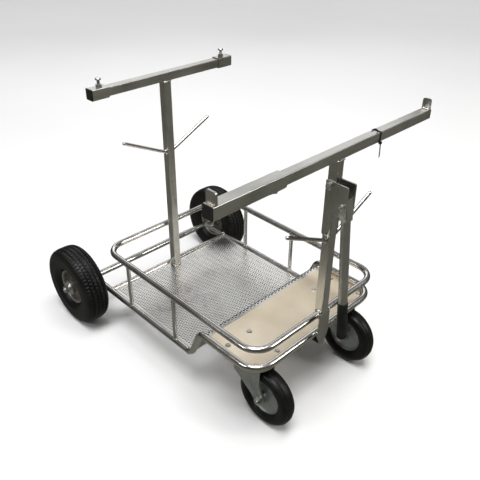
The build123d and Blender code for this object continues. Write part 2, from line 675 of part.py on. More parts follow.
# ---- casters ----------------------------------------------------------------
def build_caster(side, s):
    y = s * CASTER_Y
    with BuildPart() as top:
        with BuildSketch(Plane.XY.offset(CASTER_PLATE_BOTTOM)):
            with Locations((CASTER_X, y)):
                RectangleRounded(CASTER_PLATE_X, CASTER_PLATE_Y, CASTER_PLATE_CORNER)
        extrude(amount=CASTER_PLATE_THICK)
        with BuildSketch(Plane.XY.offset(RACE_BOTTOM)):
            with Locations((CASTER_X, y)):
                Circle(RACE_R)
        extrude(amount=RACE_DEPTH, taper=RACE_TAPER)
        with BuildSketch(Plane.XY.offset(KING_BOTTOM)):
            with Locations((CASTER_X, y)):
                Circle(1.8 * KING_PIN_R)
        extrude(amount=KING_HEAD)
        with BuildSketch(Plane.XY.offset(CROWN_BOTTOM - SIDE)):
            with Locations((CASTER_X, y)):
                Circle(KING_PIN_R)
        extrude(amount=CASTER_PLATE_BOTTOM - CROWN_BOTTOM + SIDE)
        with Locations((CASTER_X, y, CASTER_PLATE_BOTTOM)):
            with GridLocations(BOLTS_X, BOLTS_Y, 2, 2):
                Cylinder(BOLT_R + SEAT, 4 * PLATE_THICK, mode=Mode.SUBTRACT)
    save(top.part, f"caster_plate_{side}")

    with BuildPart() as fork:
        with BuildSketch(Plane.XY.offset(CROWN_BOTTOM)):
            with Locations((CASTER_X + FORK_AHEAD, y)):
                RectangleRounded(FORK_LEG, 2 * FORK_OUTSIDE, FORK_CORNER)
        extrude(amount=FORK_CROWN)
        for e in (-1, 1):
            with BuildSketch(across(0, 0, y + e * FORK_INSIDE / 2)):
                with Locations((CASTER_X + FORK_AHEAD, -CROWN_TOP + FORK_LEG_TOP / 2)):
                    Rectangle(FORK_LEG, FORK_LEG_TOP)
                with Locations((CASTER_AXLE_X, -CASTER_R)):
                    Circle(AXLE_BOSS_R)
                make_hull()
            extrude(amount=e * FORK_WALL)
        with Locations((CASTER_X, y, CROWN_BOTTOM)):
            Cylinder(KING_PIN_R + RUN, 4 * FORK_CROWN, mode=Mode.SUBTRACT)
        with Locations((CASTER_AXLE_X, y, CASTER_R)):
            along_y(CASTER_AXLE_R + SEAT, 4 * FORK_OUTSIDE)
    save(fork.part, f"caster_fork_{side}")

    with BuildPart() as axle:
        with BuildSketch(across(CASTER_AXLE_X, CASTER_R, y)):
            Circle(CASTER_AXLE_R)
        extrude(amount=FORK_OUTSIDE + NUT_THICK + WASHER_THICK, both=True)
        for e in (-1, 1):
            with BuildSketch(across(CASTER_AXLE_X, CASTER_R, y + e * FORK_OUTSIDE)):
                RegularPolygon(1.75 * CASTER_AXLE_R, 6)
            extrude(amount=e * NUT_THICK)
    save(axle.part, f"caster_axle_{side}")

    turn = Axis((CASTER_AXLE_X, 0, CASTER_R), (0, 1, 0))
    plane = Plane(origin=(CASTER_AXLE_X, y, CASTER_R), x_dir=(0, 1, 0), z_dir=(1, 0, 0))
    bore = CASTER_AXLE_R + RUN
    with BuildPart() as tyre:
        with BuildSketch(plane) as section:
            with Locations((0, (CASTER_CORE_R + CASTER_R) / 2)):
                Rectangle(CASTER_WIDTH, CASTER_R - CASTER_CORE_R)
            fillet(section.vertices().group_by(Axis.Y)[-1], CASTER_SHOULDER)
        revolve(axis=turn)
    save(tyre.part, f"caster_tyre_{side}")
    with BuildPart() as core:
        with BuildSketch(plane):
            with Locations((0, CASTER_CORE_R - CASTER_CORE_RIM / 2)):
                Rectangle(CASTER_WIDTH - 2 * CASTER_HUB_OUT, CASTER_CORE_RIM)
            with Locations((0, (CASTER_HUB_R + CASTER_CORE_R) / 2)):
                Rectangle(CASTER_CORE_WEB, CASTER_CORE_R - CASTER_HUB_R)
            with Locations((0, (bore + CASTER_HUB_R) / 2)):
                Rectangle(CASTER_HUB_WIDTH, CASTER_HUB_R - bore)
        revolve(axis=turn)
    save(core.part, f"caster_core_{side}")


def build_caster_bolts():
    """Round-head bolts down through the front plate, with nuts below the caster plates."""
    shank = 2.5 * BOLT_R
    plate_top = PLATE_BOTTOM + PLATE_THICK
    with BuildPart() as bolts:
        for s in SIDES.values():
            for dx in (-BOLTS_X / 2, BOLTS_X / 2):
                for dy in (-BOLTS_Y / 2, BOLTS_Y / 2):
                    spot = (CASTER_X + dx, s * CASTER_Y + dy)
                    with BuildSketch(Plane.XY.offset(CASTER_PLATE_BOTTOM - shank)):
                        with Locations(spot):
                            Circle(BOLT_R)
                    extrude(amount=shank + CASTER_PLATE_THICK + PLATE_THICK)
                    with BuildSketch(Plane.XY.offset(plate_top)):
                        with Locations(spot):
                            Circle(2 * BOLT_R)
                    extrude(amount=BOLT_R * 0.8, taper=30)
                    with BuildSketch(Plane.XY.offset(CASTER_PLATE_BOTTOM)):
                        with Locations(spot):
                            RegularPolygon(1.8 * BOLT_R, 6)
                    extrude(amount=-BOLT_R * 1.6)
    save(bolts.part, "caster_bolts")


# ---- build everything -------------------------------------------------------
build_axle()
build_rail()
build_stanchions()
build_floor()
build_front_plate()
cross_tube("rear_cross_tube", REAR_X, FLOOR_Z, TUBE_R)
under_floor = FLOOR_Z - FLOOR_SHEET / 2 - FLOOR_CROSS_R
cross_tube("floor_cross_tube", FLOOR_CROSS_X, under_floor, FLOOR_CROSS_R)
post("rear_post", REAR_POST_X, FLOOR_Z - TUBE_R, REAR_BAR_Z - POST / 2)
post("front_post", FRONT_X, RAIL_Z, FRONT_BAR_Z - POST / 2, saddle_z=RAIL_Z, bolt_z=CLAMP_Z)
bar("rear_bar", REAR_POST_X, REAR_BAR_Z, -REAR_BAR_HALF, REAR_BAR_HALF)
bar("front_bar", FRONT_X, FRONT_BAR_Z, FRONT_BAR_NEAR, FRONT_BAR_FAR)
plug("front_bar_plug", FRONT_X, FRONT_BAR_Z, FRONT_BAR_FAR, 1, POST, POST_WALL)
stop_y = FRONT_BAR_FAR - STOP_THICK / 2 - STOP_END_GAP
stop_plate("front_stop_left", FRONT_X, FRONT_BAR_TOP, stop_y, POST - STOP_NARROWER)
build_front_sleeve()
build_bracket()
build_handle()
build_foot()
build_cable_tie()
build_caster_bolts()
for side, s in SIDES.items():
    lower_tube(f"lower_tube_{side}", s)
    build_rear_wheel(side, s)
    build_rear_sleeve(side, s)
    build_caster(side, s)
    hook(f"rear_hook_{side}", REAR_POST_X, REAR_HOOK_Z, s)
    hook(f"front_hook_{side}", FRONT_X, FRONT_HOOK_Z, s)
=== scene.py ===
import bmesh
import bpy
import math
import numpy as np
from mathutils import Matrix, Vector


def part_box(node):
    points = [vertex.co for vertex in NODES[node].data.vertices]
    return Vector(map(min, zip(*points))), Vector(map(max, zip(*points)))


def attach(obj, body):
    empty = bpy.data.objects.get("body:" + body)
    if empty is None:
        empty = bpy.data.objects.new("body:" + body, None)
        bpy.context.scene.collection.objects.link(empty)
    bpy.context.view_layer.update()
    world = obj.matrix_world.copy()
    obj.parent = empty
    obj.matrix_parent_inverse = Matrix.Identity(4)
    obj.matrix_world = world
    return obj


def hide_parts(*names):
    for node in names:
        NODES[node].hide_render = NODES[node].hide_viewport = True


# Four-wheel carrying trolley of polished tube and brushed square steel.
# +X runs to the casters, +Y to the left side, +Z up. Metres.

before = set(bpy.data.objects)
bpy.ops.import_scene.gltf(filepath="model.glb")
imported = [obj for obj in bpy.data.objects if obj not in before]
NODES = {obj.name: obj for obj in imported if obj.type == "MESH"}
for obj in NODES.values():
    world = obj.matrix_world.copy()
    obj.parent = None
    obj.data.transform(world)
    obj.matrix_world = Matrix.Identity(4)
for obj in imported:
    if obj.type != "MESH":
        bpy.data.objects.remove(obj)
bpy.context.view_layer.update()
SIDES = {"left": 1, "right": -1}
TAU = 2 * math.pi


def corners(node):
    """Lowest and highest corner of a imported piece, as arrays."""
    low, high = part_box(node)
    return np.array(low), np.array(high)


def middle(node):
    low, high = corners(node)
    return (low + high) / 2


# ---- finishes ---------------------------------------------------------------
class Finish:
    """One material: its shader, with short calls that add nodes and join them."""

    def __init__(self, name, **sockets):
        self.material = bpy.data.materials.new(name)
        self.material.use_nodes = True
        self.tree = self.material.node_tree
        self.shader = self.tree.nodes["Principled BSDF"]
        for socket, value in sockets.items():
            self.shader.inputs[socket.replace("_", " ")].default_value = value
        self.place = self.tree.nodes.new("ShaderNodeTexCoord").outputs["Object"]

    def node(self, kind, inputs, **settings):
        made = self.tree.nodes.new("ShaderNode" + kind)
        for setting, value in settings.items():
            setattr(made, setting, value)
        for socket, value in inputs.items():
            if isinstance(value, bpy.types.NodeSocket):
                self.tree.links.new(value, made.inputs[socket])
            else:
                made.inputs[socket].default_value = value
        return made

    def noise(self, scale, stretch=(1, 1, 1), detail=3.0, rough=0.5):
        """Noise on object coordinates; a small stretch number draws it out along that axis."""
        spread = self.node("Mapping", {"Vector": self.place, "Scale": stretch})
        wanted = {"Vector": spread.outputs[0], "Scale": scale, "Detail": detail, "Roughness": rough}
        return self.node("TexNoise", wanted).outputs["Fac"]

    def ramp(self, factor, *stops):
        """Colour ramp through (place, colour) stops; a number stands for a grey."""
        made = self.node("ValToRGB", {"Fac": factor})
        while len(made.color_ramp.elements) < len(stops):
            made.color_ramp.elements.new(1.0)
        for element, (place, colour) in zip(made.color_ramp.elements, stops):
            element.position = place
            if isinstance(colour, (int, float)):
                colour = (colour, colour, colour)
            element.color = (*colour, 1.0)
        return made.outputs["Color"]

    def sum(self, a, b, share):
        """a plus share times b."""
        part = self.node("Math", {0: b, 1: share}, operation="MULTIPLY").outputs[0]
        return self.node("Math", {0: a, 1: part}, operation="ADD").outputs[0]

    def join(self, colour=None, roughness=None, height=None, depth=0.0002, strength=0.5):
        """Joins the finished patterns to the shader's colour, roughness and bump."""
        if colour is not None:
            self.tree.links.new(colour, self.shader.inputs["Base Color"])
        if roughness is not None:
            self.tree.links.new(roughness, self.shader.inputs["Roughness"])
        if height is not None:
            bump = self.node("Bump", {"Height": height, "Distance": depth, "Strength": strength})
            self.tree.links.new(bump.outputs[0], self.shader.inputs["Normal"])
        return self.material


def polished_steel():
    """Bent stainless tube: mirror polish with faint cloudy streaks and fine scratches."""
    f = Finish("polished_steel", Metallic=1.0)
    cloud = f.noise(14.0)
    fine = f.noise(420.0, detail=2.0)
    colour = f.ramp(cloud, (0.3, (0.60, 0.585, 0.56)), (0.7, (0.78, 0.765, 0.74)))
    gloss = f.ramp(f.sum(cloud, fine, 0.4), (0.4, 0.10), (0.95, 0.27))
    return f.join(colour, gloss, fine, depth=0.00003, strength=0.08)


def brushed_steel(name, stretch, tone=1.0):
    """Square steel ground along its length: long fine lines over slow dull patches."""
    f = Finish(name, Metallic=1.0)
    patches = f.noise(9.0, detail=4.0)
    lines = f.noise(1.0, stretch, detail=4.0, rough=0.65)
    dark = tuple(tone * c for c in (0.44, 0.435, 0.405))
    light = tuple(tone * c for c in (0.68, 0.675, 0.645))
    colour = f.ramp(f.sum(patches, lines, 0.5), (0.45, dark), (0.95, light))
    gloss = f.ramp(f.sum(lines, patches, 0.6), (0.4, 0.20), (1.0, 0.38))
    return f.join(colour, gloss, lines, depth=0.00012, strength=0.35)


def sheet_steel():
    """Punched floor sheet: bright satin face, duller and browner in slow patches."""
    f = Finish("sheet_steel", Metallic=1.0)
    patches = f.noise(5.5, detail=5.0)
    grain = f.noise(600.0, detail=2.0)
    colour = f.ramp(patches, (0.3, (0.55, 0.54, 0.51)), (0.7, (0.92, 0.91, 0.88)))
    gloss = f.ramp(f.sum(patches, grain, 0.3), (0.35, 0.20), (0.85, 0.36))
    return f.join(colour, gloss, grain, depth=0.00005, strength=0.3)


def plate_steel():
    """Plain front plate: satin steel with rubbed marks along its width, tinted warm cream as a painted
    reflection of a warm wall.
    """
    f = Finish("plate_steel", Metallic=1.0)
    patches = f.noise(6.0, detail=5.0, rough=0.6)
    rubbed = f.noise(1.0, (700.0, 16.0, 100.0), detail=3.0)
    # the warm cream in these stops is partly painted reflection of a warm wall, over the steel's own grey
    colour = f.ramp(patches, (0.3, (0.80, 0.69, 0.52)), (0.72, (0.97, 0.88, 0.73)))
    gloss = f.ramp(f.sum(patches, rubbed, 0.5), (0.45, 0.34), (1.0, 0.52))
    return f.join(colour, gloss, rubbed, depth=0.00006, strength=0.3)


def zinc_plate():
    """Plated fork and fasteners: grey with a green cast and a fine crystal grain."""
    f = Finish("zinc_plate", Metallic=0.85)
    patches = f.noise(24.0, detail=4.0)
    grain = f.node("TexVoronoi", {"Vector": f.place, "Scale": 260.0}).outputs["Distance"]
    colour = f.ramp(f.sum(patches, grain, 0.35), (0.35, (0.27, 0.29, 0.28)), (0.95, (0.50, 0.53, 0.51)))
    gloss = f.ramp(patches, (0.3, 0.30), (0.7, 0.50))
    return f.join(colour, gloss, grain, depth=0.00005, strength=0.35)


def bright_zinc():
    """Newer bolts, nuts and hubs: brighter plating with small dull spots."""
    f = Finish("bright_zinc", Metallic=0.95)
    patches = f.noise(70.0, detail=4.0)
    colour = f.ramp(patches, (0.3, (0.52, 0.52, 0.50)), (0.68, (0.76, 0.76, 0.73)))
    gloss = f.ramp(patches, (0.3, 0.20), (0.7, 0.38))
    return f.join(colour, gloss, patches, depth=0.0001, strength=0.25)


def rim_paint():
    """Pressed wheel disc: dull warm grey paint with brake-dust darkening and specks."""
    f = Finish("rim_paint", Metallic=0.75)
    patches = f.noise(16.0, detail=5.0, rough=0.6)
    specks = f.noise(300.0, detail=2.0)
    colour = f.ramp(patches, (0.3, (0.20, 0.19, 0.165)), (0.75, (0.42, 0.40, 0.36)))
    gloss = f.ramp(f.sum(patches, specks, 0.3), (0.35, 0.36), (0.85, 0.58))
    return f.join(colour, gloss, specks, depth=0.0001, strength=0.3)


def weld_metal():
    """Weld beads: bright metal with straw and brown heat tint."""
    f = Finish("weld_metal", Metallic=1.0)
    tint = f.noise(90.0, detail=3.0)
    warm = f.ramp(tint, (0.35, (0.42, 0.37, 0.30)), (0.55, (0.72, 0.68, 0.60)), (0.75, (0.88, 0.86, 0.82)))
    gloss = f.ramp(tint, (0.3, 0.36), (0.7, 0.16))
    return f.join(warm, gloss, f.noise(500.0), depth=0.0002, strength=0.4)


def hole_wall_painted_shade():
    """Torn inner walls of the punched holes: rough metal coloured near-black as painted shade, so the
    holes read dark.
    """
    f = Finish("hole_wall_painted_shade", Metallic=0.6)
    torn = f.noise(800.0, detail=3.0)
    # near-black colour here is painted shade inside the holes, not the steel's own colour
    return f.join(f.ramp(torn, (0.3, 0.006), (0.8, 0.022)), f.ramp(torn, (0.3, 0.5), (0.7, 0.75)), torn)


def rubber(name, tone, dust, scale, gloss_range):
    """Black rubber with grey dust in slow patches and a fine open grain."""
    f = Finish(name, Metallic=0.0)
    f.shader.inputs["Specular IOR Level"].default_value = 0.32
    patches = f.noise(scale, detail=5.0, rough=0.6)
    grain = f.noise(900.0, detail=2.0)
    colour = f.ramp(patches, (0.4, (tone, tone, tone * 1.05)), (0.85, (dust, dust * 0.97, dust * 0.92)))
    gloss = f.ramp(f.sum(patches, grain, 0.25), (0.35, gloss_range[0]), (0.85, gloss_range[1]))
    return f.join(colour, gloss, grain, depth=0.00015, strength=0.4)


FINISH = {
    "polished": polished_steel(),
    "upright": brushed_steel("upright_steel", (420.0, 420.0, 7.0)),
    "crosswise": brushed_steel("crosswise_steel", (420.0, 7.0, 420.0)),
    "bracket": brushed_steel("bracket_steel", (260.0, 260.0, 30.0), 0.86),
    "sheet": sheet_steel(),
    # hole-wall finish: near-black painted shade
    "punched": hole_wall_painted_shade(),
    "plate": plate_steel(),
    "zinc": zinc_plate(),
    "bright": bright_zinc(),
    "rim": rim_paint(),
    "weld": weld_metal(),
    "tyre": rubber("tyre_rubber", 0.0035, 0.012, 18.0, (0.30, 0.50)),
    "caster_tyre": rubber("caster_rubber", 0.0035, 0.010, 30.0, (0.28, 0.46)),
    "grip": rubber("grip_rubber", 0.005, 0.014, 40.0, (0.34, 0.54)),
    "plastic": rubber("black_plastic", 0.008, 0.018, 60.0, (0.28, 0.44)),
}

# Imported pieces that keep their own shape, by finish.
KEPT = {
    "polished": [
        "axle_tube", "lower_tube_left", "lower_tube_right", "rear_cross_tube", "floor_cross_tube",
        "upper_rail", "stanchion_rear_left", "stanchion_rear_right", "stanchion_front_left",
        "stanchion_front_right", "rear_hook_left", "rear_hook_right", "front_hook_left",
        "front_hook_right",
    ],
    "upright": ["rear_post", "front_post", "handle_tube"],
    "crosswise": ["rear_bar", "front_bar", "rear_sleeve_left", "rear_sleeve_right", "front_sleeve"],
    "bracket": [
        "front_stop_left", "front_stop_right", "bracket_cheek_left", "bracket_cheek_right",
        "foot_strap",
    ],
    "plate": ["front_plate"],
    "bright": [
        "rear_axle", "axle_nuts", "caster_bolts", "bracket_clamp_bolt", "handle_pivot_bolt",
        "rear_lock_screw_left", "rear_lock_screw_right", "front_lock_screw", "rear_hub_left",
        "rear_hub_right", "caster_axle_left", "caster_axle_right",
    ],
    "zinc": ["caster_plate_left", "caster_plate_right"],
    "plastic": ["rear_plug_left", "rear_plug_right", "front_sleeve_plug", "front_bar_plug"],
    "grip": ["foot_buffer"],
}
for finish, names in KEPT.items():
    for name in names:
        node = NODES[name]
        if not node.material_slots:
            node.data.materials.append(None)
        for material_slot in node.material_slots:
            material_slot.material = FINISH[finish]


# ---- surfaces ---------------------------------------------------------------
def grid_faces(rows, columns, close_rows, close_columns):
    """Quads over a rows by columns grid of points; a closed way joins its last line to its first."""
    a = np.arange(rows if close_rows else rows - 1)
    b = np.arange(columns if close_columns else columns - 1)
    a, b = np.meshgrid(a, b, indexing="ij")
    c, d = (a + 1) % rows, (b + 1) % columns
    quads = (a * columns + b, a * columns + d, c * columns + d, c * columns + b)
    return np.stack(quads, -1).reshape(-1, 4)


def patch(points, close_rows=False, close_columns=False):
    """A grid of points as (points, quads)."""
    rows, columns = points.shape[:2]
    return points.reshape(-1, 3), grid_faces(rows, columns, close_rows, close_columns)


def piece(name, patches, finish, body, replaced=(), sharp=38.0, wall=None, rim=None):
    """One object from its patches: doubles merged, faces turned outward, sharp edges kept."""
    points, faces, start = [], [], 0
    for some_points, some_faces in patches:
        points.append(some_points)
        faces.append(some_faces + start)
        start += len(some_points)
    mesh = bpy.data.meshes.new(name)
    mesh.from_pydata(np.concatenate(points).tolist(), [], np.concatenate(faces).tolist())
    work = bmesh.new()
    work.from_mesh(mesh)
    bmesh.ops.remove_doubles(work, verts=work.verts, dist=2e-6)
    bmesh.ops.dissolve_degenerate(work, edges=work.edges, dist=1e-7)
    bmesh.ops.recalc_face_normals(work, faces=work.faces)
    limit = math.radians(sharp)
    for face in work.faces:
        face.smooth = True
    for edge in work.edges:
        edge.smooth = len(edge.link_faces) == 2 and edge.calc_face_angle() < limit
    work.to_mesh(mesh)
    work.free()
    made = bpy.data.objects.new(name, mesh)
    bpy.context.scene.collection.objects.link(made)
    mesh.materials.append(FINISH[finish])
    if wall is not None:
        solid = made.modifiers.new("wall", "SOLIDIFY")
        solid.thickness = wall
        solid.offset = 0.0
        if rim is not None:
            mesh.materials.append(FINISH[rim])
            solid.material_offset_rim = 1
    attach(made, body)
    if replaced:
        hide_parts(*replaced)
    return made


def turned(centre, profile, steps, shape=None, close=True):
    """Profile of (radius, place along Y) turned about a line along Y through centre.

    Point = centre + radius * (cos a, 0, sin a) + place * Y, with a once round;
    shape(a, radius, place) may give new radii and places on the whole grid.
    """
    a = np.linspace(0, TAU, steps, endpoint=False)[:, None]
    radius = np.broadcast_to(profile[:, 0], (steps, len(profile)))
    place = np.broadcast_to(profile[:, 1], (steps, len(profile)))
    if shape is not None:
        radius, place = shape(a, radius, place)
    out = np.stack([radius * np.cos(a), place, radius * np.sin(a)], -1)
    return patch(centre + out, close_rows=True, close_columns=close)


def along(path, section, closed=False, up=(0, 0, 1), scale=None):
    """Section of (side, lift) carried along a path of points.

    At each point side = tangent x up and lift = side x tangent; scale is one number
    per point. An open path is closed by drawing each end to its middle point.
    """
    path = np.asarray(path, float)
    if closed:
        tangent = np.roll(path, -1, 0) - np.roll(path, 1, 0)
    else:
        tangent = np.gradient(path, axis=0)
    tangent /= np.linalg.norm(tangent, axis=1)[:, None]
    side = np.cross(tangent, up)
    side /= np.linalg.norm(side, axis=1)[:, None]
    lift = np.cross(side, tangent)
    scale = np.ones(len(path)) if scale is None else np.asarray(scale, float)
    if not closed:
        path, side, lift = [np.concatenate([v[:1], v, v[-1:]]) for v in (path, side, lift)]
        scale = np.concatenate([[0], scale, [0]])
    s = np.asarray(section, float)
    across = side[:, None] * s[None, :, :1] + lift[:, None] * s[None, :, 1:]
    points = path[:, None] + across * scale[:, None, None]
    return patch(points, close_rows=closed, close_columns=True)


def ring_section(radius, sides=10):
    a = np.linspace(0, TAU, sides, endpoint=False)
    return radius * np.stack([np.cos(a), np.sin(a)], -1)


def smooth_step(x):
    x = np.clip(x, 0, 1)
    return x * x * (3 - 2 * x)


def resample(outline, count):
    """Points evenly spaced along an outline of points."""
    outline = np.asarray(outline, float)
    length = np.concatenate([[0], np.cumsum(np.linalg.norm(np.diff(outline, axis=0), axis=1))])
    even = np.linspace(0, length[-1], count)
    return np.stack([np.interp(even, length, outline[:, i]) for i in range(outline.shape[1])], -1)


# ---- rear tyres -------------------------------------------------------------
RIB_GROOVE = 0.0032       # width of the grooves round the tread
GROOVE_DEPTH = 0.0034
BLOCKS = 64               # tread blocks round one rib
RIBS = 5


def rear_tyre(side):
    """Rounded air tyre with ribbed blocks and fine rings on its walls.

    Section: a superellipse, wide w = W |cos t|^0.56 and radius r = R0 + H |sin t|^0.56,
    narrowed toward the bead. Tread: r falls by the groove depth in the grooves
    between the ribs and in cuts across them that step sideways from rib to rib.
    """
    low, high = corners(f"rear_tyre_{side}")
    centre = (low + high) / 2
    outer, bead = (high[2] - low[2]) / 2, 0.0545
    half = (high[1] - low[1]) / 2 - 0.0004
    mid, rise = (outer + bead) / 2, (outer - bead) / 2
    t = np.linspace(0, TAU, 4000)
    power = 0.56
    wide = half * np.sign(np.cos(t)) * np.abs(np.cos(t)) ** power
    wide *= 1 - 0.34 * np.clip(-np.sin(t), 0, 1) ** 1.5
    radius = mid + rise * np.sign(np.sin(t)) * np.abs(np.sin(t)) ** power
    outline = np.stack([radius, wide], -1)
    step = np.linalg.norm(np.diff(outline, axis=0), axis=1)
    weight = np.where(radius[1:] > outer - 0.014, 3.2, 1.0)
    length = np.concatenate([[0], np.cumsum(step * weight)])
    even = np.linspace(0, length[-1], 117)[:-1]
    profile = np.stack([np.interp(even, length, outline[:, i]) for i in (0, 1)], -1)

    def tread(a, r, w):
        band = 0.034
        rib = (w / band + 1) * RIBS / 2
        near = np.abs(rib - np.round(rib)) * 2 * band / RIBS
        groove = 1 - smooth_step((near - RIB_GROOVE / 2 + 0.0007) / 0.0014)
        inside = (rib > 0.2) & (rib < RIBS - 0.2)
        shift = 0.5 * (np.floor(rib) % 2)
        turn = a / TAU * BLOCKS + shift
        cut = np.abs(turn - np.round(turn)) * TAU * outer / BLOCKS
        slot = (1 - smooth_step((cut - 0.0004) / 0.0009)) * (np.abs(rib - RIBS / 2) < RIBS / 2 + 0.35)
        top = smooth_step((r - (outer - 0.012)) / 0.004)
        depth = np.maximum(groove * inside, slot * 0.4) * top * GROOVE_DEPTH
        rings = 0.0005 * np.sin((r - bead) * TAU / 0.0046) * (np.abs(r - mid) < 0.019)
        return r - depth, w + rings * np.sign(w)

    round_tyre = turned(centre, profile, BLOCKS * 8, tread)
    piece(f"tread_{side}", [round_tyre], "tyre", f"rear_wheel_{side}",
          [f"rear_tyre_{side}"], sharp=50)


# ---- rear wheel discs -------------------------------------------------------
def rear_disc(side, s):
    """Pressed rim: rolled lip, stepped well and a dished disc with five round dimples.

    A closed section turned about the axle; the disc is pushed inward by
    cos-shaped dimples at five even angles.
    """
    centre = middle(f"rear_rim_{side}")
    # out along +place: lip, bead seat, well, disc face, and back on the inner side
    face = [
        (0.0575, 0.0245), (0.0582, 0.0255), (0.0582, 0.0262), (0.0560, 0.0264), (0.0535, 0.0250),
        (0.0520, 0.0220), (0.0515, 0.0160), (0.0505, 0.0090), (0.0485, 0.0040), (0.0450, 0.0022),
        (0.0405, 0.0030), (0.0360, 0.0062), (0.0315, 0.0100), (0.0275, 0.0115), (0.0236, 0.0118),
    ]
    back = [
        (0.0236, 0.0090), (0.0315, 0.0072), (0.0360, 0.0034), (0.0405, 0.0002), (0.0450, -0.0006),
        (0.0490, 0.0000), (0.0510, -0.0060), (0.0515, -0.0160), (0.0522, -0.0225),
        (0.0540, -0.0250), (0.0560, -0.0264), (0.0582, -0.0262), (0.0582, -0.0255),
        (0.0565, -0.0240), (0.0545, -0.0215), (0.0540, -0.0160), (0.0540, 0.0160),
        (0.0545, 0.0215), (0.0565, 0.0240), (0.0575, 0.0245),
    ]
    outline = np.array(face + back)
    outline[:, 1] *= s
    profile = resample(outline, 150)[:-1]

    def dimples(a, r, w):
        near = np.abs((a * 5 / TAU) % 1 - 0.5) * TAU / 5 * 0.039
        away = np.sqrt(near**2 + (r - 0.039) ** 2)
        on_disc = (r < 0.0475) & (r > 0.028)
        push = 0.0034 * (1 - smooth_step((away - 0.0035) / 0.0035)) * on_disc
        return r, w - s * push

    disc = turned(centre, profile, 180, dimples)
    collar = np.array([
        (0.0238, 0.0135), (0.0262, 0.0135), (0.0275, 0.0128), (0.0275, 0.0115), (0.0238, 0.0115),
    ])
    collar[:, 1] *= s
    piece(f"wheel_disc_{side}", [disc, turned(centre, collar, 72)], "rim",
          f"rear_wheel_{side}", [f"rear_rim_{side}"])


# ---- casters ----------------------------------------------------------------
CASTER_DISC_R = 0.053
FORK_CROWN = 0.104         # the fork's crown, front to back
FORK_SKIRT = 0.060         # depth of its straight sides, above the tapering legs


def caster_wheel(side):
    """Rubber tyre with stepped rings, round a pressed disc with a rolled bright edge."""
    low, high = corners(f"caster_tyre_{side}")
    centre = (low + high) / 2
    outer, half = (high[2] - low[2]) / 2, (high[1] - low[1]) / 2
    wall = [
        (CASTER_DISC_R + 0.0005, half - 0.0100), (0.0555, half - 0.0075), (0.0570, half - 0.0072),
        (0.0580, half - 0.0050), (0.0600, half - 0.0046), (0.0608, half - 0.0024),
        (0.0640, half - 0.0020), (0.0652, half - 0.0004), (0.0690, half),
    ]
    a = np.linspace(0, math.pi / 2, 14)
    shoulder = np.stack([0.0720 + 0.0150 * np.sin(a), half - 0.0140 * (1 - np.cos(a))], -1)
    crown = np.array([(outer - 0.0006, half * 0.30), (outer, 0.0)])
    upper = np.concatenate([np.array(wall), shoulder, crown])
    lower = upper[::-1][1:] * (1, -1)
    outline = np.concatenate([upper, lower, upper[:1]])
    piece(f"caster_rubber_{side}", [turned(centre, resample(outline, 150)[:-1], 160)], "caster_tyre",
          f"caster_wheel_{side}", [f"caster_tyre_{side}"])

    turned_face = [
        (0.0062, 0.0215), (0.0125, 0.0215), (0.0140, 0.0205), (0.0145, 0.0120), (0.0170, 0.0095),
        (0.0240, 0.0085), (0.0340, 0.0082), (0.0455, 0.0086), (0.0488, 0.0100),
        (0.0504, 0.0134), (0.0518, 0.0142), (0.0530, 0.0134), (0.0536, 0.0098),
    ]
    upper = np.array(turned_face)
    outline = np.concatenate([upper, upper[::-1] * (1, -1), upper[:1]])
    piece(f"caster_disc_{side}", [turned(centre, resample(outline, 140)[:-1], 120)], "zinc",
          f"caster_wheel_{side}", [f"caster_core_{side}"])


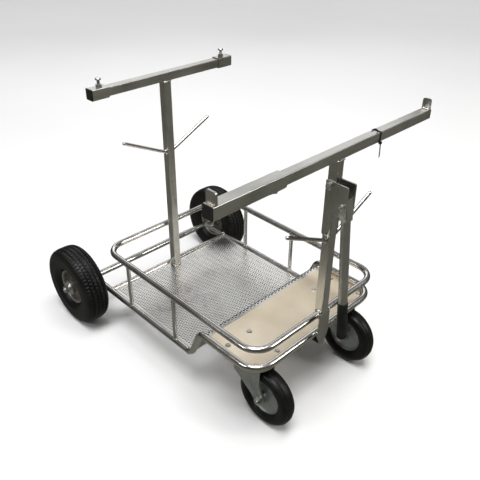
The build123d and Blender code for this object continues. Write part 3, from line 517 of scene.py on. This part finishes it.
def caster_fork(side):
    """Pressed fork: one strip bent over the crown, its legs drawn in to the axle.

    Rows follow the strip from the foot of one leg, round a bend, over the crown and
    down the other; columns run from its rear edge to its front edge. The edges are
    the tangents from the crown's corners to the round axle boss. A raised band runs
    down the middle of each leg.
    """
    low, high = corners(f"caster_fork_{side}")
    axle = middle(f"caster_axle_{side}")
    y, top, out = axle[1], high[2] - 0.0015, (high[1] - low[1]) / 2 - 0.0015
    boss, bend = axle[2] - low[2], 0.009
    rear, front, skirt = low[0], low[0] + FORK_CROWN, top - FORK_SKIRT

    def edge(x0, sign):
        """Foot point of the tangent from (x0, skirt) to the boss, as (x, z)."""
        dx, dz = axle[0] - x0, axle[2] - skirt
        away = math.hypot(dx, dz)
        aim = math.atan2(dz, dx) + sign * math.asin(boss / away)
        reach = math.sqrt(away**2 - boss**2)
        return x0 + reach * math.cos(aim), skirt + reach * math.sin(aim)

    down = np.concatenate([np.linspace(0, 0.12, 16)[:-1], np.linspace(0.12, 1, 50)])
    z_leg = low[2] + 0.00002 + (top - bend - low[2]) * down
    a = np.linspace(0, math.pi / 2, 9)[1:]
    z_half = np.concatenate([z_leg, top - bend + bend * np.sin(a)])
    y_half = np.concatenate([np.full(len(z_leg), out), out - bend * (1 - np.cos(a))])
    crown = np.linspace(out - bend, -(out - bend), 14)[1:-1]
    z_row = np.concatenate([z_half, np.full(len(crown), top), z_half[::-1]])
    y_row = np.concatenate([y_half, crown, -y_half[::-1]])

    (rx, rz), (fx, fz) = edge(rear + 0.010, -1), edge(front - 0.002, 1)
    inside = np.sqrt(np.clip(boss**2 - (z_row - axle[2]) ** 2, 0, None))
    shoulder = top - bend
    left = np.interp(z_row, [rz, skirt, shoulder], [rx, rear + 0.010, rear])
    right = np.interp(z_row, [fz, skirt, shoulder], [fx, front - 0.002, front])
    left = np.where(z_row < rz, axle[0] - inside, left)
    right = np.where(z_row < fz, axle[0] + inside, right)

    u = np.linspace(0, 1, 33)
    x = left[:, None] + (right - left)[:, None] * u
    on_leg = smooth_step((shoulder - z_row) / 0.012) * smooth_step((z_row - axle[2] - 0.010) / 0.014)
    band = smooth_step((0.17 - np.abs(u - 0.52)) / 0.05)
    push = 0.0016 * on_leg[:, None] * band
    outward = np.sign(y_row)[:, None] * np.ones_like(u)
    sideways = y + y_row[:, None] + outward * (push - 0.0014)
    points = np.stack([x, sideways, np.broadcast_to(z_row[:, None], x.shape)], -1)
    race = turned_z(middle_of_race(side), 0.0260, 0.0150)
    piece(f"fork_{side}", [patch(points), race], "zinc", f"caster_swivel_{side}",
          [f"caster_fork_{side}"], sharp=55, wall=0.003)


def middle_of_race(side):
    """Point on the swivel line, level with the top of the fork."""
    low, high = corners(f"caster_plate_{side}")
    fork = corners(f"caster_fork_{side}")[1][2]
    return np.array([(low[0] + high[0]) / 2, (low[1] + high[1]) / 2, fork - 0.0015])


def turned_z(centre, outer, inner):
    """Flat ring about a vertical line."""
    a = np.linspace(0, TAU, 48, endpoint=False)
    r = np.linspace(inner, outer, 3)
    a, r = np.meshgrid(a, r, indexing="ij")
    out = np.stack([r * np.cos(a), r * np.sin(a), np.zeros_like(a)], -1)
    return patch(centre + out, close_rows=True)


# ---- floor sheet ------------------------------------------------------------
HOLE_PITCH = 0.0086       # holes in one row, rows running front to back
ROW_PITCH = HOLE_PITCH * math.sqrt(3) / 2
HOLE_R = 0.0031
SHEET_THICK = 0.0024
SHEET_BEND = 0.006
STEP_FOOT = 0.148          # where the step starts to rise
STEP_LEAN = 0.040          # how far it goes forward as it rises


def floor_sheet():
    """Punched sheet, flat on the low frame, then bent up the step to the front plate.

    Every cell is a rectangle of sheet round an eight-sided hole: eight quads from
    the rectangle's corners and side middles to the hole. Every second row is moved
    half a pitch along. Cells are laid out flat, as (run, across), and run is then
    carried along the bent line of the sheet.
    """
    low, high = corners("perforated_floor")
    foot, head, bend = STEP_FOOT, STEP_FOOT + STEP_LEAN, SHEET_BEND
    floor_z, head_z = low[2] + 0.001, high[2] - 0.001
    line = np.array([
        (low[0], floor_z), (foot - bend, floor_z), (foot - bend * 0.2, floor_z + bend * 0.25),
        (foot + bend * 0.45, floor_z + bend), (head - bend * 0.45, head_z - bend),
        (head + bend * 0.2, head_z - bend * 0.25), (head + bend, head_z),
        (high[0], head_z),
    ])
    run = np.concatenate([[0], np.cumsum(np.linalg.norm(np.diff(line, axis=0), axis=1))])
    columns = int((run[-1] - 0.010) / HOLE_PITCH)
    rows = int((high[1] - low[1] - 0.010) / ROW_PITCH)
    start = (run[-1] - columns * HOLE_PITCH) / 2
    stop = start + columns * HOLE_PITCH
    side = -rows * ROW_PITCH / 2

    a = np.arange(8) * TAU / 8
    ring = np.stack([np.cos(a), np.sin(a)], -1)
    square = ring / np.abs(ring).max(1)[:, None]
    cell = np.concatenate([square * (HOLE_PITCH / 2, ROW_PITCH / 2), ring * HOLE_R])
    i, j = np.meshgrid(np.arange(columns), np.arange(rows), indexing="ij")
    i, j = i.ravel(), j.ravel()
    odd = j % 2 == 1
    middle_run = start + (i + 0.5 + 0.5 * odd) * HOLE_PITCH
    middle_side = side + (j + 0.5) * ROW_PITCH
    post_high = corners("rear_post")[1]
    under_post = (middle_run + low[0] < post_high[0] - 0.004) & (np.abs(middle_side) < 0.0085)
    keep = ~under_post & (middle_run < stop - 0.4 * HOLE_PITCH)
    flat = np.stack([middle_run[keep], middle_side[keep]], -1)[:, None] + cell
    k = np.arange(8)
    around = np.stack([k, (k + 1) % 8, 8 + (k + 1) % 8, 8 + k], -1)
    faces = (np.arange(len(flat))[:, None, None] * 16 + around).reshape(-1, 4)

    def bent(points):
        x = np.interp(points[:, 0], run, line[:, 0])
        z = np.interp(points[:, 0], run, line[:, 1])
        return np.stack([x, points[:, 1], z], -1)

    def strip(run_line, side_line):
        r, w = np.meshgrid(run_line, side_line, indexing="ij")
        points, quads = patch(np.stack([r, w, 0 * r], -1))
        return bent(points[:, :2]), quads

    half_runs = start + np.arange(2 * columns + 1) * HOLE_PITCH / 2
    half_sides = side + np.arange(2 * rows + 1) * ROW_PITCH / 2
    all_runs = np.concatenate([[0], half_runs, [run[-1]]])
    edges = [
        strip([0, start], half_sides),
        strip([stop, run[-1]], half_sides),
        strip(all_runs, [low[1], side]),
        strip(all_runs, [-side, high[1]]),
    ]
    for row in range(1, rows, 2):
        lines = half_sides[2 * row:2 * row + 3]
        edges += [strip(half_runs[:2], lines), strip(half_runs[-2:], lines)]
    # the sheet's rims, round every hole and along its edges, take the near-black painted-shade finish
    piece("punched_floor", [(bent(flat.reshape(-1, 2)), faces), *edges], "sheet",
          "frame", ["perforated_floor"], sharp=40, wall=SHEET_THICK, rim="punched")


# ---- small pieces -----------------------------------------------------------
def handle_sleeve():
    """Rubber grip on the leaning handle: flared mouth, shallow finger rings, round end.

    A profile of (place, radius) turned about the handle's own line.
    """
    low, high = corners("handle_grip")
    lean = math.radians(5.0)
    up = np.array([-math.sin(lean), 0, math.cos(lean)])
    front = np.array([math.cos(lean), 0, math.sin(lean)])
    radius = (high[1] - low[1]) / 2
    pivot = middle("handle_pivot_bolt")
    reach, ribs_end = 0.385, 0.104   # pivot to the far end; from there to the plain collar
    end = pivot - up * reach
    place = np.linspace(0.0045, 0.1085, 66)
    r = radius - 0.0004 + 0.00015 * np.cos(place * TAU / 0.0085)
    r = np.where(place > ribs_end, radius, r)
    a = np.linspace(0, math.pi / 2, 9)
    cap_place, cap_r = 0.0045 * (1 - np.cos(a)), (radius - 0.0045) + 0.0045 * np.sin(a)
    place = np.concatenate([[0], cap_place, place, [0.1098, 0.11, 0.11]])
    r = np.concatenate([[0], cap_r, r, [radius, radius - 0.0006, 0.0121]])
    turn = np.linspace(0, TAU, 48, endpoint=False)
    ring = np.cos(turn)[:, None] * front + np.sin(turn)[:, None] * np.array([0, 1.0, 0])
    points = end + place[None, :, None] * up + r[None, :, None] * ring[:, None]
    piece("grip_rubber", [patch(points, close_rows=True)], "grip", "pull_handle", ["handle_grip"])


def tie_strap():
    """Thin plastic tie: a band round the bar, its lock below, and two loose curled ends."""
    bar_low, bar_high = corners("front_bar")
    x, z = (bar_low[0] + bar_high[0]) / 2, (bar_low[2] + bar_high[2]) / 2
    half = (bar_high[2] - bar_low[2]) / 2 + 0.0008
    y = middle("cable_tie")[1]
    t = np.linspace(0, TAU, 72, endpoint=False)
    lean = 0.0016 * np.sin(t)
    round_bar = np.stack([
        x + half * np.clip(1.32 * np.cos(t), -1, 1), y + lean, z + half * np.clip(1.32 * np.sin(t), -1, 1)
    ], -1)
    band = np.array([(-0.0019, -0.0006), (0.0019, -0.0006), (0.0019, 0.0006), (-0.0019, 0.0006)])
    turn_band = band[:, ::-1]
    up = (0, 1, 0)
    loop = along(round_bar, turn_band, closed=True, up=up)
    s = np.linspace(0, 1, 22)[:, None]
    start = np.array([x + half + 0.002, y, z - half - 0.001])
    tail = start + s * (0.004, -0.004, -0.036) + np.sin(s * math.pi) * (0.003, -0.004, 0.0)
    tip = np.interp(s[:, 0], [0, 0.85, 1], [1, 1, 0.45])
    hanging = along(tail, turn_band * 0.9, up=up, scale=tip)
    start = np.array([x + 0.004, y, z + half + 0.0005])
    curl = start + s * (0.002, -0.030, 0.006) + np.sin(s * math.pi) * (0.0, 0.0, 0.006)
    rising = along(curl, band * 0.8, up=(1, 0, 0.2), scale=tip)
    a = np.linspace(0, TAU, 20, endpoint=False)
    block = 0.0036 * np.stack([
        np.sign(np.cos(a)) * np.abs(np.cos(a)) ** 0.5, np.sign(np.sin(a)) * np.abs(np.sin(a)) ** 0.5
    ], -1)
    lock_at = np.array([x + half + 0.0015, y, z - half])
    lock_line = lock_at + np.linspace(-1, 1, 7)[:, None] * (0, 0, 0.0034)
    lock = along(lock_line, block, up=up, scale=[0.8, 0.97, 1, 1, 1, 0.97, 0.8])
    piece("tie_strap", [loop, hanging, rising, lock], "plastic", "frame", ["cable_tie"])


# ---- welds ------------------------------------------------------------------
def ripples(path, radius, closed, seed):
    """Weld bead along a path: round section, its size rippling with the welder's steps."""
    path = resample(np.concatenate([path, path[:1]]) if closed else path,
                    max(10, int(path_length(path, closed) / 0.0011)))
    if closed:
        path = path[:-1]
    k = np.arange(len(path))
    size = 1 + 0.16 * np.sin(k * 1.9 + seed) + 0.10 * np.sin(k * 0.37 + 2 * seed)
    if not closed:
        size = size * np.clip(np.minimum(k, k[::-1]) / 2.5 + 0.35, 0, 1)
    return along(path, ring_section(radius, 8), closed=closed, up=(0.13, 0.21, 0.97), scale=size)


def path_length(path, closed):
    ends = np.concatenate([path, path[:1]]) if closed else path
    return np.linalg.norm(np.diff(ends, axis=0), axis=1).sum()


def square_loop(x, y, z, half_x, half_y):
    """Level loop round a square post."""
    t = np.linspace(0, TAU, 48, endpoint=False)
    around = np.clip(1.3 * np.stack([np.cos(t), np.sin(t)], -1), -1, 1)
    return np.stack([x + half_x * around[:, 0], y + half_y * around[:, 1], np.full(48, z)], -1)


def saddle_loop(centre, direction, radius, host, host_axis, host_radius):
    """Loop where a round bar meets a tube.

    Round the bar: centre + radius * (cos a * n1 + sin a * n2), moved along the bar
    until it lies on the tube's surface.
    """
    direction = np.asarray(direction, float) / np.linalg.norm(direction)
    n1 = np.cross(direction, host_axis)
    n1 /= np.linalg.norm(n1)
    n2 = np.cross(direction, n1)
    a = np.linspace(0, TAU, 40, endpoint=False)[:, None]
    ring = centre + radius * (np.cos(a) * n1 + np.sin(a) * n2)
    sideways = (ring - host) @ n1
    reach = np.sqrt(np.clip(host_radius**2 - sideways**2, 0, None))
    foot = (ring - host) @ direction
    return ring + direction * (reach - foot)[:, None]


def welds():
    """All the beads on the frame, and those on the sliding end."""
    beads = []
    tube = 0.009
    rear_low, rear_high = corners("rear_post")
    front_high = corners("front_post")[1]
    rail_low, rail_high = corners("upper_rail")
    rail_z = (rail_low[2] + rail_high[2]) / 2
    lower_low, lower_high = corners("lower_tube_left")
    low_z = lower_low[2] + tube
    side_y = lower_high[1] - tube
    front_x = rail_high[0] - tube
    half = 0.0125
    rear_x = (rear_low[0] + rear_high[0]) / 2
    wide, snug = half + 0.001, half + 0.0006
    beads.append(ripples(square_loop(rear_x, 0, low_z + 0.0022, wide, wide), 0.0021, True, 0.3))
    for x, top, seed in ((rear_x, rear_high[2], 1.1), (front_x, front_high[2], 1.9)):
        beads.append(ripples(square_loop(x, 0, top - 0.0012, snug, snug), 0.0019, True, seed))
    a = np.linspace(-1, 1, 30)
    for y in (-half - 0.0008, half + 0.0008):
        t = a * math.radians(62)
        arch = np.stack([front_x + 0.0115 * np.sin(t), np.full(30, y), rail_z + 0.0102 * np.cos(t)], -1)
        beads.append(ripples(arch, 0.0031, False, 2.3 + y))
    for side, s in SIDES.items():
        for place in ("rear", "front"):
            x, y, _ = middle(f"stanchion_{place}_{side}")
            for z, aim in ((low_z, 1), (rail_z, -1)):
                host = np.array([x, y, z])
                loop = saddle_loop(host, (0, 0, aim), 0.0062, host, (1, 0, 0), tube)
                beads.append(ripples(loop, 0.0015, True, x + z))
            low, high = corners(f"{place}_hook_{side}")
            mid_x = (low[0] + high[0]) / 2
            ring = np.linspace(0, TAU, 32, endpoint=False)
            loop = np.stack([mid_x + 0.0053 * np.cos(ring), np.full(32, s * (half + 0.0006)),
                             low[2] + 0.0058 + 0.0066 * np.sin(ring)], -1)
            beads.append(ripples(loop, 0.0017, True, s + 0.4))
        for name in ("rear_cross_tube", "floor_cross_tube"):
            low, high = corners(name)
            radius = (high[0] - low[0]) / 2
            x, z = (low[0] + high[0]) / 2, (low[2] + high[2]) / 2
            loop = saddle_loop(np.array([x, s * side_y, z]), (0, -s, 0), radius + 0.0002,
                               np.array([x, s * side_y, low_z]), (1, 0, 0), tube)
            beads.append(ripples(loop, 0.0016, True, z + s))
    strap_low = corners("foot_strap")[0]
    for z in (rail_z, strap_low[2] + 0.048):
        for s in (-1, 1):
            y = s * 0.0222
            upright = np.stack([np.full(14, front_x + tube + 0.0008), np.full(14, y),
                                z + np.linspace(-0.0075, 0.0075, 14)], -1)
            beads.append(ripples(upright, 0.0029, False, z + s))
    stop_low, stop_high = corners("front_stop_left")
    for y in (stop_low[1] - 0.0006, stop_high[1] + 0.0004):
        flat = np.stack([np.linspace(stop_low[0] + 0.001, stop_high[0] - 0.001, 24), np.full(24, y),
                         np.full(24, stop_low[2] + 0.0009)], -1)
        beads.append(ripples(flat, 0.0029, False, y))
    cheek_low, cheek_high = corners("bracket_cheek_right")
    for s in (-1, 1):
        y = s * (half + 0.0005)
        foot = np.stack([np.linspace(front_x - half, front_x + half, 20), np.full(20, s * (half + 0.0022)),
                         np.full(20, cheek_low[2] - 0.0004)], -1)
        beads.append(ripples(foot, 0.0022, False, 1.3 * s))
        for z in (cheek_low[2] + 0.020, cheek_high[2] - 0.030):
            back = np.stack([np.full(16, front_x - half + 0.0002), np.full(16, y + s * 0.0004),
                             z + np.linspace(-0.011, 0.011, 16)], -1)
            beads.append(ripples(back, 0.0019, False, z + s))
    piece("weld_beads", beads, "weld", "frame", sharp=80)

    stop_low, stop_high = corners("front_stop_right")
    loose = []
    for y in (stop_low[1] - 0.0004, stop_high[1] + 0.0006):
        flat = np.stack([np.linspace(stop_low[0] + 0.001, stop_high[0] - 0.001, 26), np.full(26, y),
                         np.full(26, stop_low[2] + 0.0009)], -1)
        loose.append(ripples(flat, 0.0029, False, y))
    piece("sleeve_weld_beads", loose, "weld", "front_extension", sharp=80)


for side, s in SIDES.items():
    rear_tyre(side)
    rear_disc(side, s)
    caster_wheel(side)
    caster_fork(side)
floor_sheet()
handle_sleeve()
tie_strap()
welds()


# ---- studio -----------------------------------------------------------------
def studio_floor():
    f = Finish("studio_floor", Roughness=0.9)
    f.shader.inputs["Specular IOR Level"].default_value = 0.1
    f.join(f.ramp(f.noise(0.7), (0.3, 0.86), (0.7, 0.90)))
    size = 14.0
    points = np.array([(-size, -size, 0), (size, -size, 0), (size, size, 0), (-size, size, 0)], float)
    mesh = bpy.data.meshes.new("studio_floor")
    mesh.from_pydata(points.tolist(), [], [(0, 1, 2, 3)])
    mesh.materials.append(f.material)
    ground = bpy.data.objects.new("studio_floor", mesh)
    bpy.context.scene.collection.objects.link(ground)
    ground.visible_glossy = False


def backdrop():
    """Round pale wall far behind everything, seen directly but not lit or mirrored."""
    f = Finish("backdrop", Roughness=1.0, Emission_Strength=0.82)
    pale = f.ramp(f.noise(0.3), (0.3, 0.93), (0.7, 0.97))
    f.tree.links.new(pale, f.shader.inputs["Emission Color"])
    f.shader.inputs["Base Color"].default_value = (0, 0, 0, 1)
    a = np.linspace(0, TAU, 96, endpoint=False)[:, None]
    z = np.linspace(-0.02, 9.0, 3)[None]
    wall = np.stack([12.0 * np.cos(a) + 0 * z, 12.0 * np.sin(a) + 0 * z, z + 0 * a], -1)
    points, quads = patch(wall, close_rows=True)
    mesh = bpy.data.meshes.new("backdrop")
    mesh.from_pydata(points.tolist(), [], quads.tolist())
    mesh.materials.append(f.material)
    made = bpy.data.objects.new("backdrop", mesh)
    bpy.context.scene.collection.objects.link(made)
    made.visible_glossy = made.visible_diffuse = made.visible_shadow = False


def softbox(name, place, target, size, power, colour=(1, 1, 1)):
    light = bpy.data.lights.new(name, "AREA")
    light.shape = "RECTANGLE"
    light.size, light.size_y = size
    light.energy = power
    light.color = colour
    lamp = bpy.data.objects.new(name, light)
    bpy.context.scene.collection.objects.link(lamp)
    aim(lamp, place, np.array(target) - np.array(place))


def aim(thing, place, direction, roll=0.0):
    """Puts thing at place, looking along direction, turned by roll degrees about that line."""
    d = np.asarray(direction, float) / np.linalg.norm(direction)
    right = np.cross(d, (0, 0, 1))
    right = right / np.linalg.norm(right) if np.linalg.norm(right) > 1e-6 else np.array([1.0, 0, 0])
    up = np.cross(right, d)
    c, s = math.cos(math.radians(roll)), math.sin(math.radians(roll))
    right, up = c * right - s * up, s * right + c * up
    matrix = Matrix.Identity(4)
    for row in range(3):
        matrix[row][0], matrix[row][1] = right[row], up[row]
        matrix[row][2], matrix[row][3] = -d[row], place[row]
    thing.matrix_world = matrix


def surroundings():
    """Mid grey from below, dark at the horizon, mid grey again overhead."""
    world = bpy.data.worlds.new("surroundings")
    bpy.context.scene.world = world
    world.use_nodes = True
    tree = world.node_tree
    place = tree.nodes.new("ShaderNodeTexCoord").outputs["Generated"]
    split = tree.nodes.new("ShaderNodeSeparateXYZ")
    tree.links.new(place, split.inputs[0])
    height = tree.nodes.new("ShaderNodeMath")
    height.operation = "MULTIPLY_ADD"
    height.inputs[1].default_value = height.inputs[2].default_value = 0.5
    tree.links.new(split.outputs["Z"], height.inputs[0])
    ramp = tree.nodes.new("ShaderNodeValToRGB")
    tree.links.new(height.outputs[0], ramp.inputs["Fac"])
    stops = (
        (0.0, (0.22, 0.22, 0.195)), (0.33, (0.165, 0.165, 0.138)), (0.48, (0.02, 0.02, 0.02)),
        (0.60, (0.05, 0.052, 0.055)), (0.85, (0.20, 0.20, 0.198)), (1.0, (0.25, 0.25, 0.25)),
    )
    while len(ramp.color_ramp.elements) < len(stops):
        ramp.color_ramp.elements.new(0.5)
    for element, (at, colour) in zip(ramp.color_ramp.elements, stops):
        element.position = at
        element.color = (*colour, 1.0)
    tree.links.new(ramp.outputs["Color"], tree.nodes["Background"].inputs["Color"])
    tree.nodes["Background"].inputs["Strength"].default_value = 0.9


studio_floor()
backdrop()
surroundings()
softbox("low_panel", (-2.4, 2.1, 2.1), (0, 0, 0.7), (3.4, 1.1), 17)
softbox("top_light", (0.3, 0.2, 3.2), (0, 0, 0.2), (1.3, 1.3), 34)
sun = bpy.data.lights.new("overhead", "SUN")
sun.energy = 1.9
sun.angle = math.radians(26)
overhead = bpy.data.objects.new("overhead", sun)
bpy.context.scene.collection.objects.link(overhead)
aim(overhead, (0, 0, 3), (-0.16, 0.22, -1))
softbox("side_light", (2.6, 1.6, 2.1), (0, 0, 0.3), (0.5, 1.6), 24, (1.0, 0.97, 0.92))
softbox("front_light", (-0.6, -3.0, 2.3), (0, 0, 0.3), (1.8, 0.5), 24)
bpy.context.scene.view_settings.view_transform = "Standard"

VIEW_TURN = math.radians(135.036)
VIEW_DOWN = math.radians(32.055)
camera_data = bpy.data.cameras.new("camera")
camera_data.sensor_width = 36.0
camera_data.lens = 44.32
camera_data.shift_x = -0.0085
camera_data.shift_y = -0.0112
camera = bpy.data.objects.new("camera", camera_data)
bpy.context.scene.collection.objects.link(camera)
view = (
    math.cos(VIEW_TURN) * math.cos(VIEW_DOWN),
    math.sin(VIEW_TURN) * math.cos(VIEW_DOWN),
    -math.sin(VIEW_DOWN),
)
aim(camera, (1.1244, -1.0204, 1.3017), view, -0.826)
bpy.context.scene.camera = camera
